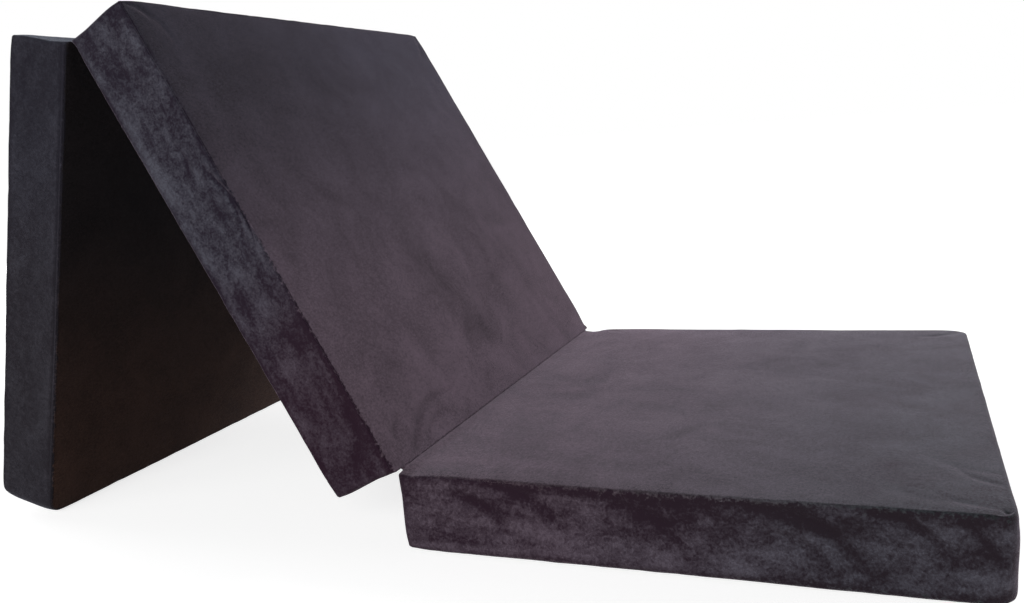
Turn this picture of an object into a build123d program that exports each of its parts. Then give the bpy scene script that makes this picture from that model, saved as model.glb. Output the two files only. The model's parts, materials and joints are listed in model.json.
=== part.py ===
"""Three-section folding futon mattress with zipped velour covers, standing half folded.

The foot section lies flat, the middle section leans back from it, and the head section
hangs behind the middle section with its end on the floor. Every section is modelled lying
flat in its own frame, with X along its length from 0, Y across its width about 0 and Z up
from its underside, and is then turned about its fold seams into the rest pose.
Lengths are in millimetres and angles in degrees.
"""

import os
from dataclasses import dataclass
from math import acos, atan2, cos, degrees, hypot, radians, sin

from build123d import *

# Sections, measured over the cover
section_length = 663.0
section_width = 800.0
section_height = 100.0
edge_radius = 8.0
hinge_edge_radius = 3.0
corner_radius = 14.0
hinge_corner_radius = 6.0
smallest_radius = 0.5

# Cover fabric and foam
cover_thickness = 1.5
seam_below_edge = 2.0
foam_clearance = 0.3

# Fold seams: a strip of cover fabric runs from each end face to the fold axis
fold_gap = 5.5
fold_lift = 0.5
web_thickness = 1.2
web_flange = 12.0
web_end_inset = 2.0
web_parting = 0.15
bead_radius = 0.9
bead_clearance = 0.3

# Rest pose: the middle section's lean from the floor
middle_lean = 62.0

# Zip chain: two combs of moulded teeth on woven tapes
zip_length = 500.0
tape_width = 12.0
tape_thickness = 0.8
tape_end = 8.0
tooth_pitch = 6.2
tooth_neck = 1.8
tooth_head = 2.7
tooth_reach = 1.5
spine_distance = 2.2
spine_width = 1.0
teeth_thickness = 2.4
stop_margin = 2.0
stop_length = 2.5
stop_width = 9.0
stop_thickness = 1.2
stop_clearance = 0.3

# Zip slider
slider_length = 16.5
slider_shoulder = 7.0
slider_nose_depth = 3.0
slider_nose_width = 5.0
slider_nose_flare = 0.9
slider_plate = 1.1
slider_clearance = 0.25
slider_flange = 0.85
post_start = 9.5
post_length = 5.0
post_clearance = 0.3
slot_clearance = 0.5

# Zip pull and the ears and pin that carry it
pin_radius = 0.7
pin_from_tail = 12.0
pin_clearance = 0.15
eye_wall = 0.75
eye_width = 3.4
eye_clearance = 0.25
ear_thickness = 1.0
ear_radius = 1.4
ear_bevel = 0.8
pull_length = 27.0
pull_width = 7.0
pull_thickness = 1.4
pull_neck = 5.0
pull_bevel = 1.6
pull_slot_from_end = 3.5
pull_slot_length = 9.0
pull_slot_width = 3.0

# Sizes that follow from the ones above
seam_height = edge_radius + seam_below_edge
spine_outer = spine_distance + spine_width
plate_level = teeth_thickness / 2 + slider_clearance
plate_top = plate_level + slider_plate
tail_half_width = spine_outer + slider_clearance + slider_flange
nose_half_width = tail_half_width + slider_nose_flare
slot_half_width = nose_half_width + slot_clearance
eye_radius = pin_radius + pin_clearance + eye_wall
pin_level = plate_top + eye_clearance + eye_radius
chain_depth = cover_thickness + tape_thickness / 2
zip_start = (section_length - zip_length) / 2
stop_inner = stop_margin + stop_length
slider_rest = zip_length - stop_inner - stop_clearance - slider_length
slider_travel = slider_rest - stop_inner - stop_clearance
teeth_end = slider_rest + post_start - post_clearance
fold_pitch = section_length + fold_gap
top_axis_height = section_height + fold_lift

# Corners of a section's side outline, in the order of softened_rectangle
LEFT_BASE, RIGHT_BASE, RIGHT_TOP, LEFT_TOP = range(4)


def softened_rectangle(low, high, radii, soften):
    """Rectangle between two corners, each softened by its own size, counter-clockwise from low."""
    width, height = high[0] - low[0], high[1] - low[1]
    outline = Pos(*low) * Rectangle(width, height, align=(Align.MIN, Align.MIN))
    corners = (low, (high[0], low[1]), high, (low[0], high[1]))
    for corner, radius in zip(corners, radii):
        if radius > 0:
            outline = soften(outline.vertices().sort_by_distance(corner)[0], radius)
    return outline


def block(low, high):
    """Plain box between two corners."""
    size = [top - bottom for bottom, top in zip(low, high)]
    return Pos(*low) * Box(*size, align=(Align.MIN, Align.MIN, Align.MIN))


def raised(face, low, high):
    """Solid of a face drawn in X and Z, from one Y level to another."""
    return extrude(Plane.XZ.offset(-high) * face, amount=high - low)


def centred(face, width):
    """Solid of a face drawn in X and Y, of a width centred on Z = 0."""
    return extrude(face, amount=width / 2, both=True)


def section_block(hinge_corners, inset, far_inset, soften):
    """Block of a section, drawn in from its outer faces, with rounded or bevelled edges."""

    def drawn_in(radius):
        return max(radius - inset, smallest_radius)

    low_x, high_x = inset, section_length - inset
    low_y, high_y = inset - section_width / 2, section_width / 2 - far_inset
    low_z, high_z = inset, section_height - inset
    soft = drawn_in(edge_radius)
    side_radii = [soft] * 4
    for corner in hinge_corners:
        side_radii[corner] = drawn_in(hinge_edge_radius)
    left_hinged = LEFT_BASE in hinge_corners or LEFT_TOP in hinge_corners
    right_hinged = RIGHT_BASE in hinge_corners or RIGHT_TOP in hinge_corners
    left = drawn_in(hinge_corner_radius if left_hinged else corner_radius)
    right = drawn_in(hinge_corner_radius if right_hinged else corner_radius)

    side_face = softened_rectangle((low_x, low_z), (high_x, high_z), side_radii, soften)
    end_face = softened_rectangle((low_y, low_z), (high_y, high_z), [soft] * 4, soften)
    plan_face = softened_rectangle((low_x, low_y), (high_x, high_y), (left, right, right, left), soften)
    end = extrude(Plane.YZ.offset(low_x) * end_face, amount=high_x - low_x)
    plan = extrude(Pos(0, 0, low_z) * plan_face, amount=high_z - low_z)
    return raised(side_face, low_y, high_y) & end & plan


def cover_pieces(hinge_corners):
    """Top and base panels, the band round the sides, and the two bands beside the zip."""
    outer = section_block(hinge_corners, 0, 0, fillet)
    inner = section_block(hinge_corners, cover_thickness, cover_thickness, fillet)
    cover = outer - inner
    half_width = section_width / 2
    upper_seam = section_height - seam_height
    whole_low, whole_high = (0, -half_width), (section_length, half_width)
    top = block((*whole_low, upper_seam), (*whole_high, section_height))
    base = block((*whole_low, 0), (*whole_high, seam_height))
    inside_face = half_width - cover_thickness
    zip_end = zip_start + zip_length
    middle = section_height / 2
    window = block((zip_start, inside_face, seam_height), (zip_end, half_width, upper_seam))
    slot_low, slot_high = middle - slot_half_width, middle + slot_half_width
    return {
        "top_panel": cover & top,
        "base_panel": cover & base,
        "side_band": cover - top - base - window,
        "zip_band_upper": block((zip_start, inside_face, slot_high), (zip_end, half_width, upper_seam)),
        "zip_band_lower": block((zip_start, inside_face, seam_height), (zip_end, half_width, slot_low)),
    }


def foam_core(hinge_corners):
    """Bevelled foam block that fills the cover, short of the zip slider on the far side."""
    far_inset = chain_depth + plate_top + foam_clearance
    return section_block(hinge_corners, cover_thickness + foam_clearance, far_inset, chamfer)


# The zip is drawn with X along it, Y out of the mattress and Z across it, from its open end.


def zip_teeth(first_tooth):
    """Comb of dovetail teeth that point down across the zip's centre line."""
    outline = [(stop_inner, spine_outer), (stop_inner, spine_distance)]
    tooth = first_tooth
    while tooth + tooth_head / 2 < teeth_end:
        outline += [
            (tooth - tooth_neck / 2, spine_distance),
            (tooth - tooth_head / 2, -tooth_reach),
            (tooth + tooth_head / 2, -tooth_reach),
            (tooth + tooth_neck / 2, spine_distance),
        ]
        tooth += tooth_pitch
    chain_end = zip_length - stop_inner
    outline += [(chain_end, spine_distance), (chain_end, spine_outer)]
    return raised(make_face(Polyline(*outline, close=True)), -teeth_thickness / 2, teeth_thickness / 2)


def zip_chain():
    """Tapes, combs and end stops of one zip."""
    tape = block(
        (-tape_end, -tape_thickness / 2, spine_outer),
        (zip_length + tape_end, tape_thickness / 2, spine_outer + tape_width),
    )
    half_turn = Rot(180, 0, 0)
    stop = block(
        (stop_margin, tape_thickness / 2, -stop_width / 2),
        (stop_inner, tape_thickness / 2 + stop_thickness, stop_width / 2),
    )
    other_stop = Pos(zip_length - stop_margin - stop_inner, 0, 0) * stop
    first_tooth = stop_inner + tooth_head
    return {
        "zip_tape_upper": tape,
        "zip_tape_lower": half_turn * tape,
        "zip_teeth_upper": zip_teeth(first_tooth),
        "zip_teeth_lower": half_turn * zip_teeth(first_tooth + tooth_pitch / 2),
        "zip_end_stops": Compound([stop, other_stop]),
    }


def slider_outline():
    """Shield outline of a slider plate, from its tail at X = 0 to its nose."""
    upper_half = (
        (0, tail_half_width),
        (slider_shoulder, nose_half_width),
        (slider_length - slider_nose_depth, nose_half_width),
        (slider_length, slider_nose_width / 2),
    )
    lower_half = [(along, -across) for along, across in reversed(upper_half)]
    return make_face(Polyline(*upper_half, *lower_half, close=True))


def zip_slider():
    """Two plates over and under the chain, joined by a post, with flanges, ears and pin."""
    plate = slider_outline()
    rim = plate - offset(plate, -slider_flange)
    rim -= Rectangle(2 * slider_length, 2 * (tail_half_width - slider_flange))
    flange_level = tape_thickness / 2 + slider_clearance
    slider = raised(plate, plate_level, plate_top) + raised(plate, -plate_top, -plate_level)
    slider += raised(rim, flange_level, plate_level) + raised(rim, -plate_level, -flange_level)

    post_middle, post_end = post_start + post_length / 2, post_start + post_length
    post_half_width = spine_distance - post_clearance
    diamond = Polyline(
        (post_start, 0),
        (post_middle, post_half_width),
        (post_end, 0),
        (post_middle, -post_half_width),
        close=True,
    )
    slider += raised(make_face(diamond), -plate_level, plate_level)

    ear_top = pin_level + ear_radius
    ear_face = softened_rectangle(
        (pin_from_tail - ear_radius, plate_top),
        (pin_from_tail + ear_radius, ear_top),
        (0, 0, ear_bevel, ear_bevel),
        chamfer,
    )
    ear_place = eye_width / 2 + eye_clearance + ear_thickness / 2
    for side in (-1, 1):
        slider += Pos(0, 0, side * ear_place) * centred(ear_face, ear_thickness)
    pin = Pos(pin_from_tail, pin_level) * Circle(pin_radius)
    return slider + centred(pin, 2 * ear_place)


def zip_pull():
    """Flat tab with a slot, and an eye that turns on the slider's pin."""
    tab = softened_rectangle(
        (pull_neck, -pull_width / 2), (pull_length, pull_width / 2), [pull_bevel] * 4, chamfer
    )
    tab += Pos(pull_neck / 2, 0) * Rectangle(pull_neck, eye_width)
    slot_place = pull_length - pull_slot_from_end - pull_slot_length / 2
    tab -= Pos(slot_place, 0) * Rectangle(pull_slot_length, pull_slot_width)
    pull = raised(tab, -pull_thickness / 2, pull_thickness / 2) + centred(Circle(eye_radius), eye_width)
    pull -= centred(Circle(pin_radius + pin_clearance), 2 * eye_width)
    return Pos(pin_from_tail, pin_level) * pull


def fold_web(with_bead):
    """Fabric strip of a fold, for a section on the +X side and below the fold axis."""
    half_gap = fold_gap / 2
    edge = -(fold_lift + hinge_edge_radius)
    profile = make_face(
        Polyline(
            (half_gap, edge - web_flange),
            (half_gap, edge),
            (web_parting, -web_parting),
            (web_parting, -web_parting - bead_radius),
            (half_gap - web_thickness, edge - web_parting),
            (half_gap - web_thickness, edge - web_flange),
            close=True,
        )
    )
    if with_bead:
        profile += Circle(bead_radius)
    else:
        profile -= Circle(bead_radius + bead_clearance)
    half_width = section_width / 2 - hinge_corner_radius - web_end_inset
    return raised(profile, -half_width, half_width)


def turned(x, z, angle):
    """A point of the X-Z plane after a turn about +Y through the origin."""
    turn = radians(angle)
    return x * cos(turn) + z * sin(turn), z * cos(turn) - x * sin(turn)


# Rest pose. The head section's turn is the one at which its inner end edge meets the floor.
lower_drop = turned(-fold_pitch, -(section_height + 2 * fold_lift), middle_lean)
head_axis_x, head_axis_z = lower_drop[0], top_axis_height + lower_drop[1]
edge_reach = fold_gap / 2 + section_length - edge_radius
edge_offset = fold_lift + edge_radius
head_lean = degrees(
    acos((head_axis_z - edge_radius) / hypot(edge_reach, edge_offset)) - atan2(edge_offset, edge_reach)
)
head_turn = head_lean - 90
outer_edge = turned(-edge_reach, fold_lift + section_height - edge_radius, head_turn)
lowest_x = head_axis_x + outer_edge[0] - edge_radius
highest_x = fold_gap / 2 + section_length
centring = Pos(-(lowest_x + highest_x) / 2, 0, 0)


@dataclass(frozen=True)
class Section:
    """One cushion of the mattress: its folded corners, and its place in the rest pose."""

    hinge_corners: tuple
    place: Location
    zip_turned: bool


SECTIONS = {
    "foot": Section((LEFT_TOP,), centring * Pos(fold_gap / 2, 0, 0), False),
    "middle": Section(
        (RIGHT_TOP, LEFT_BASE),
        centring
        * Pos(0, 0, top_axis_height)
        * Rot(0, middle_lean, 0)
        * Pos(fold_gap / 2 - fold_pitch, 0, -top_axis_height),
        False,
    ),
    "head": Section(
        (RIGHT_BASE,),
        centring
        * Pos(head_axis_x, 0, head_axis_z)
        * Rot(0, head_turn, 0)
        * Pos(fold_gap / 2 - fold_pitch, 0, fold_lift),
        True,
    ),
}


def zip_place(section):
    """Where a section's zip lies, in the section's own frame."""
    across = Pos(zip_start, section_width / 2 - chain_depth, section_height / 2)
    if section.zip_turned:
        return across * Pos(zip_length, 0, 0) * Rot(0, 180, 0)
    return across


def slider_place(section):
    """Where a section's zip slider rests, in the section's own frame."""
    return zip_place(section) * Pos(slider_rest, 0, 0)


def section_nodes(name, section):
    """Every piece of one section but its fold webs, in the rest pose."""
    pieces = {"foam_core": foam_core(section.hinge_corners)}
    pieces.update(cover_pieces(section.hinge_corners))
    swapped = {"upper": "lower", "lower": "upper"} if section.zip_turned else {}
    for piece_name, piece in zip_chain().items():
        stem, _, level = piece_name.rpartition("_")
        pieces[f"{stem}_{swapped.get(level, level)}"] = zip_place(section) * piece
    pieces["zip_slider"] = slider_place(section) * zip_slider()
    pieces["zip_pull"] = slider_place(section) * zip_pull()
    return {f"{name}_{piece_name}": section.place * piece for piece_name, piece in pieces.items()}


def fold_web_nodes():
    """The four strips of the two folds, each in its section's frame and then at rest."""
    beaded, plain = fold_web(True), fold_web(False)
    left_axis, right_axis = -fold_gap / 2, section_length + fold_gap / 2
    top_axis, base_axis = top_axis_height, -fold_lift
    middle = SECTIONS["middle"].place
    return {
        "foot_fold_web": SECTIONS["foot"].place * Pos(left_axis, 0, top_axis) * beaded,
        "middle_foot_fold_web": middle * Pos(right_axis, 0, top_axis) * mirror(plain, Plane.YZ),
        "middle_head_fold_web": middle * Pos(left_axis, 0, base_axis) * mirror(beaded, Plane.XY),
        "head_fold_web": SECTIONS["head"].place
        * Pos(right_axis, 0, base_axis)
        * mirror(mirror(plain, Plane.YZ), Plane.XY),
    }


def mattress_nodes():
    """Every named piece of the mattress, in the rest pose."""
    nodes = {}
    for name, section in SECTIONS.items():
        nodes.update(section_nodes(name, section))
    nodes.update(fold_web_nodes())
    return nodes


def main():
    os.makedirs("parts", exist_ok=True)
    for name, piece in mattress_nodes().items():
        export_step(piece, f"parts/{name}.step")


if __name__ == "__main__":
    main()
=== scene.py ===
"""Looks of the three-section folding futon mattress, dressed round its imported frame.

Each section's cover is drawn lying flat in the section's own frame, in metres: X along it from 0,
Y across it about 0 with the zip on the +Y side, and Z up from its underside. It then takes the
section's place in the frame and rides on that section's body.
"""

import json
from collections import namedtuple
from math import cos, pi, radians, sin

import bpy
import numpy as np
from mathutils import Matrix, Vector


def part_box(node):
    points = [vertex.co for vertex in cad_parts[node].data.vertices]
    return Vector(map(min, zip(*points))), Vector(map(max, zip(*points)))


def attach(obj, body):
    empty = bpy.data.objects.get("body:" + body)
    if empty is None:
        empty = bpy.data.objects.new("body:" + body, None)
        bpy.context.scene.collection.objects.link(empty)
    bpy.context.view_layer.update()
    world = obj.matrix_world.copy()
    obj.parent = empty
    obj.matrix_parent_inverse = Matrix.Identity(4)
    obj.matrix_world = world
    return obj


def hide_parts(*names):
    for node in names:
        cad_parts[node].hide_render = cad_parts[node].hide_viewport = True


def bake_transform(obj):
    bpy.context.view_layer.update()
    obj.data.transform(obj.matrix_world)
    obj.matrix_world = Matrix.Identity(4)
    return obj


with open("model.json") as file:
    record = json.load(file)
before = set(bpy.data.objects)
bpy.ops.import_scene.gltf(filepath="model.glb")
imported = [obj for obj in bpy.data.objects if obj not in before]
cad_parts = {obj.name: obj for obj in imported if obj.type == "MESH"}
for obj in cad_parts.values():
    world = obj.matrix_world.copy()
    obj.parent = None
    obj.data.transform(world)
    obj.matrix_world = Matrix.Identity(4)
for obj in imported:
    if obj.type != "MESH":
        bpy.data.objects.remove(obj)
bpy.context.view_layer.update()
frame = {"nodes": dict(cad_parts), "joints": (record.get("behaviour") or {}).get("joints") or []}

# Sizes read from the frame
SIDE_LOW, SIDE_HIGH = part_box("foot_side_band")
LENGTH = SIDE_HIGH.x - SIDE_LOW.x
HALF_WIDTH = (SIDE_HIGH.y - SIDE_LOW.y) / 2
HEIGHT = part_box("foot_top_panel")[1].z
ZIP_LOW, ZIP_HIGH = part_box("foot_zip_band_upper")
ZIP_START, ZIP_END = ZIP_LOW.x - SIDE_LOW.x, ZIP_HIGH.x - SIDE_LOW.x
SLOT_HALF = ZIP_LOW.z - HEIGHT / 2
JOINTS = {joint["name"]: joint for joint in frame["joints"]}
FOLD_1 = Vector(JOINTS["fold_foot_to_middle"]["pos_m"])
FOLD_2 = Vector(JOINTS["fold_middle_to_head"]["pos_m"])
FOLD_LIFT = FOLD_1.z - HEIGHT
HALF_GAP = SIDE_LOW.x - FOLD_1.x
MIDDLE_TURN = -radians(JOINTS["fold_foot_to_middle"]["range_deg"][0])
HEAD_TURN = MIDDLE_TURN - radians(JOINTS["fold_middle_to_head"]["range_deg"][1])

# Covers: radii of their edges and of their corners in plan, and where round an edge its seam runs
EDGE_RADIUS = 0.007
HINGE_EDGE_RADIUS = 0.0011
CORNER_RADIUS = 0.02
HINGE_CORNER_RADIUS = 0.006
COVER_THICKNESS = 0.0012
SEAM_ANGLE = radians(58)

# Spacing of the covers' points: over a panel, near its edges, and along and up a side band
GRID_STEP = 0.0085
RIM_STARTS = (0.0016, 0.0034, 0.0054, 0.0076)
RIM_STEP = 0.0026
RIM_WIDTH = 0.135
RIM_SETTLED = 0.03
BAND_STEP = 0.0045
BAND_ROW = 0.0026
ROUNDING_ROWS = 7
CORNER_COLUMNS = 9

# Foam blocks, their wear as (depth, scale, seed step) of random fields
FOAM_INSET = 0.01
FOAM_RADIUS = 0.012
FOAM_STEP = 0.012
FOAM_WEAR = ((0.0006, 11, 7), (0.0003, 60, 8))

# Fold strips: their ends, the flanges sewn to the sections, and the bend between the flanges as
# (distance out from the fold's axis, depth under it)
WEB_LOW, WEB_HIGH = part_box("foot_fold_web")
WEB_END_CUT = 0.009
WEB_HALF = WEB_HIGH.y - WEB_END_CUT
WEB_FAR_CUT = 0.008
WEB_FLANGE = WEB_HIGH.z - WEB_LOW.z
WEB_THICKNESS = 0.0008
WEB_STEP = 0.004
WEB_CLEARANCE = 0.0004
FLANGE_START = 0.0065
WEB_BEND = ((0.002, 0.0048), (0.0013, 0.0034), (0.0007, 0.0024), (0.0002, 0.0019))

# A cover's folded edges: their gap to the fold's axis, and how near the fold they reach out to it
FOLD_PARTING = 0.00012
FOLD_REACH = 0.016
FOLD_DEPTHS = (0.034, 0.002)

# How a seam's lips turn in: steps and depths of their rows, from the deepest one out
PANEL_LIP_STEPS = (0.00003, 0.00002, 0.00001)
LIP_STEPS = (0.00012, 0.00015, 0.00035)
LIP_DEPTHS = (0.0009, 0.0003, 0.0001)
LIP_START = 0.0008

# How deep some seams are pulled in, and how puckered they are, as shares of what the others are
SEAM_PULL = {("head", "base"): 2.0, ("middle", "top"): 2.0, ("foot", "top"): 0.05}
PUCKERED = {("foot", "top"): 0.35}

# Forms of the covers, as depths under their full outline. Waves and gathers are random fields.
CROWN_DEPTH = 0.0016
PANEL_WAVES = ((0.0007, 9, 0), (0.0003, 31, 1))
NEAR_SLACK = 0.003
NEAR_SLACK_SWAY = 0.35
END_SLACK = 0.0018
GATHERS = ((0.0008, 52, 5), (0.0003, 120, 6), (0.0008, 15, 9))
GATHER_REACH = 0.011
WORN_DEPTH = 0.0022
WORN_REACH = 0.019
EDGE_FADE = (0.001, 0.014)
ZIP_HOLD = (0.035, 0.015)
ZIP_DIP = 0.0005

# Slack fabric of the side bands: its grid, its cut and how it is settled
CLOTH_STEP = 0.008
CLOTH_SKEW = 0.03
CLOTH_SLACK = 0.04
CLOTH_START = 0.0008
CLOTH_GRAVITY = 0.3
CLOTH_FRAMES = 26
CLOTH_GAIN = 1.5
CLOTH_MOST = 0.003
CLOTH_SETTINGS = {
    "quality": 6,
    "mass": 0.15,
    "tension_stiffness": 25,
    "compression_stiffness": 8,
    "shear_stiffness": 12,
    "bending_stiffness": 0.4,
}

# A section's place, its hinged edges as (level, end), how loose its side bands hang, and its seed
Section = namedtuple("Section", "name place hinged drape seed")
SIGN = {"top": 1, "base": -1, "high": 1, "low": -1}


def turned_about(axis, turn, local_z):
    """Place of a section whose fold axis lies past its high end at local height local_z."""
    from_axis = Matrix.Translation((-LENGTH - HALF_GAP, 0, -local_z))
    return Matrix.Translation(axis) @ Matrix.Rotation(turn, 4, "Y") @ from_axis


SECTIONS = (
    Section("foot", Matrix.Translation((SIDE_LOW.x, 0, 0)), {("top", "low")}, 1.0, 11),
    Section(
        "middle",
        turned_about(FOLD_1, MIDDLE_TURN, HEIGHT + FOLD_LIFT),
        {("top", "high"), ("base", "low")},
        0.7,
        23,
    ),
    Section("head", turned_about(FOLD_2, HEAD_TURN, -FOLD_LIFT), {("base", "high")}, 0.45, 37),
)


def hinged_at(section, end):
    return any(end == hinged_end for _, hinged_end in section.hinged)


def smoothstep(low, high, value):
    share = np.clip((value - low) / (high - low), 0, 1)
    return share * share * (3 - 2 * share)


def noise(points, scale, seed):
    """Smooth random field between -1 and 1, with features about 1 / scale across."""
    size = 32
    lattice = np.random.default_rng(seed).uniform(-1, 1, (size, size, size))
    spot = points * scale + 100
    cell = np.floor(spot).astype(int)
    share = smoothstep(0, 1, spot - cell)
    total = 0
    for corner in np.ndindex(2, 2, 2):
        weight = np.prod(np.where(corner, share, 1 - share), axis=-1)
        place = (cell + corner) % size
        total = total + weight * lattice[place[..., 0], place[..., 1], place[..., 2]]
    return total


# Creases: (face, start, end, width, depth) in millimetres, with the face's two own coordinates.
# On top and base they are X from the low end and Y from the near side; on near, X and Z.
CREASES = {
    "foot": (
        ("top", (657, 18), (590, 50), 4.5, 0.6),
        ("top", (652, 30), (538, 58), 9, 0.5),
        ("top", (652, 82), (612, 132), 5.5, 0.9),
        ("top", (655, 112), (579, 172), 8.5, 0.6),
        ("top", (657, 10), (650, 17), 2.4, 2.2),
        ("top", (650, 780), (585, 742), 8, 1.2),
        ("top", (10, 790), (70, 765), 7, 1.2),
        ("near", (410, 88), (534, 24), 9, 3.6),
        ("near", (430, 60), (500, 18), 7, 1.8),
        ("near", (530, 92), (604, 46), 8, 3),
        ("near", (120, 92), (205, 40), 8, 2.8),
        ("near", (70, 78), (140, 30), 7, 1.8),
        ("near", (262, 80), (345, 30), 8, 2),
        ("near", (615, 88), (648, 40), 7, 1.8),
        ("base", (650, 20), (600, 60), 8, 1),
    ),
    "middle": (
        ("top", (652, 70), (617, 212), 6.2, 3.2),
        ("top", (656, 98), (642, 190), 4.8, 2),
        ("top", (630, 40), (612, 78), 5.5, 2),
        ("top", (7, 12), (30, 40), 4.5, 1.2),
        ("top", (12, 30), (60, 58), 7, 1),
        ("top", (12, 786), (60, 750), 8, 1.2),
        ("near", (235, 79.5), (330, 79), 2.4, 3),
        ("near", (252, 86), (352, 84.5), 2.4, 3),
        ("near", (190, 60), (226, 54), 3, 1.4),
        ("near", (290, 73), (345, 70), 2.6, 1),
        ("near", (570, 88), (640, 46), 8, 2.2),
        ("near", (60, 30), (120, 60), 7, 1.4),
        ("base", (650, 20), (600, 60), 8, 1),
    ),
    "head": (
        ("base", (650, 14), (604, 50), 6, 1.2),
        ("top", (651, 14), (600, 55), 7, 1.4),
        ("top", (14, 16), (75, 55), 8, 1.2),
        ("near", (590, 70), (648, 52), 7, 1.4),
        ("near", (610, 9.5), (60, 8.5), 1.6, 2.4),
    ),
}

# Where the pile looks lighter (share above 0) and darker (below 0): brushed and rubbed pile,
# and painted light and painted shade, such as the painted shade beside the folds.
# (section, face, centre, reach, share), with coordinates like the creases'.
LIT_AND_BRUSHED_SPOTS = (
    ("middle", "near", (335, 101), (85, 16), 0.9),
    ("middle", "near", (140, 104), (60, 10), 0.5),
    ("middle", "top", (450, 342), (40, 30), -0.60),
    ("middle", "top", (567, 386), (34, 38), -0.70),
    ("middle", "top", (524, 526), (45, 40), -0.50),
    ("middle", "top", (120, 300), (80, 120), -0.15),
    ("middle", "top", (80, 100), (170, 200), -0.45),
    ("middle", "top", (80, 660), (200, 220), 0.70),
    ("foot", "top", (552, 126), (25, 10), -0.40),
    ("foot", "top", (515, 176), (32, 20), -0.30),
    ("foot", "top", (300, 330), (60, 60), -0.20),
    ("foot", "top", (330, 300), (230, 320), 0.60),
    ("foot", "top", (150, 740), (200, 220), 1.00),
    ("foot", "top", (560, 640), (120, 160), -0.35),
    ("foot", "near", (340, 60), (60, 40), -0.45),
    ("foot", "near", (455, 50), (30, 25), 0.45),
    ("foot", "near", (560, 70), (40, 20), 0.30),
)

# How far the side's crushed pile runs on over a panel's edge, near a section's low end and past it
RAGGED = {"foot": (0.003, -0.0045), "middle": (0.0015, 0.0005), "head": (0.0, 0.0)}
RAGGED_CHANGE = (0.03, 0.20)

# The rise of a fold in the fabric at which the painted light on its crest is strongest. Creases in
# it take painted shade.
RIDGE_RISE = 0.0025

# How far the corners beside a fold are drawn in, at the near and at the far side, how wide that
# reaches, and its shares across the section and away from the fold
HINGE_CORNER_WEAR = {"foot": (0.004, 0.0085), "middle": (0.002, 0.003), "head": (0.001, 0.001)}
HINGE_CORNER_REACH = 0.022
WEAR_ACROSS, WEAR_DOWN = 0.4, 0.8


def crease_dip(across, along, start, end, width, depth):
    """Depth of a crease that fades at both ends. One shorter than 0.2 m is curved."""
    run = end - start
    length = np.linalg.norm(run)
    offset = np.stack([across, along], -1) - start
    share = offset @ run / length**2
    bend = (0.12 * length if length < 0.2 else 0) * np.sin(pi * np.clip(share, 0, 1))
    distance = np.abs(offset @ np.array([-run[1], run[0]]) / length - bend)
    taper = smoothstep(-0.25, 0.15, share) * (1 - smoothstep(0.6, 1.2, share))
    return depth * taper * np.exp(-((distance / width) ** 2))


def add_object(name, data):
    made = bpy.data.objects.new(name, data)
    bpy.context.scene.collection.objects.link(made)
    return made


def hung_strip(width, gravity, seed):
    """How far a slack side band stands out once it has hung, on a grid along it and up it.

    The band is sewn along its four edges. Its fabric is cut taller than the side it covers, and its
    two long edges are sewn a little askew, which draws it into slanting folds.
    """
    counts = [int(round(size / CLOTH_STEP)) for size in (width, HEIGHT)]
    along, up = np.meshgrid(
        np.linspace(0, width, counts[0] + 1), np.linspace(0, HEIGHT, counts[1] + 1), indexing="ij"
    )
    column, row = np.indices(along.shape)
    sewn = (column % counts[0] == 0) | (row % counts[1] == 0)
    flat = np.stack([along, along * 0, up], -1)
    loose = smoothstep(-0.6, 0.7, noise(flat, 6.5, seed))
    start, cut = flat.copy(), flat.copy()
    start[..., 1] = np.where(sewn, 0, -CLOTH_START * (1 + noise(flat, 25, seed + 1)))
    cut[..., 0] += CLOTH_SKEW * loose * (up / HEIGHT - 0.5)
    cut[..., 2] += CLOTH_SLACK * loose * (up - HEIGHT / 2)

    strip = add_object("strip", grid_mesh("strip", start))
    strip.shape_key_add(name="sewn")
    pattern = strip.shape_key_add(name="cut")
    pattern.data.foreach_set("co", cut.ravel())
    pattern.value = 0
    held = strip.vertex_groups.new(name="seam")
    held.add(np.flatnonzero(sewn).tolist(), 1.0, "REPLACE")
    cloth = strip.modifiers.new("cloth", "CLOTH")
    for key, value in CLOTH_SETTINGS.items():
        setattr(cloth.settings, key, value)
    cloth.settings.vertex_group_mass = "seam"
    cloth.settings.rest_shape_key = pattern
    cloth.settings.effector_weights.gravity = CLOTH_GRAVITY
    cloth.collision_settings.use_collision = False
    cloth.collision_settings.use_self_collision = False
    cloth.point_cache.frame_end = CLOTH_FRAMES
    scene = bpy.context.scene
    first_frame, first_gravity = scene.frame_current, scene.gravity.copy()
    scene.gravity = gravity
    for frame_number in range(1, CLOTH_FRAMES + 1):
        scene.frame_set(frame_number)
    hung = strip.evaluated_get(bpy.context.evaluated_depsgraph_get()).data
    places = np.empty(along.size * 3)
    hung.vertices.foreach_get("co", places)
    bpy.data.objects.remove(strip)
    scene.gravity = first_gravity
    scene.frame_set(first_frame)
    outward = -places.reshape(*along.shape, 3)[..., 1]
    return np.clip(outward * CLOTH_GAIN, -CLOTH_MOST, CLOTH_MOST)


def side_slack(section):
    """The hung fabric of a section's near side and of its two ends."""
    down = section.place.to_3x3().inverted() @ Vector((0, 0, -9.81))
    return {
        "near": hung_strip(LENGTH, down, section.seed),
        "low": hung_strip(2 * HALF_WIDTH, Vector((down.y, down.x, down.z)), section.seed + 40),
        "high": hung_strip(2 * HALF_WIDTH, Vector((down.y, -down.x, down.z)), section.seed + 50),
    }


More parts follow.
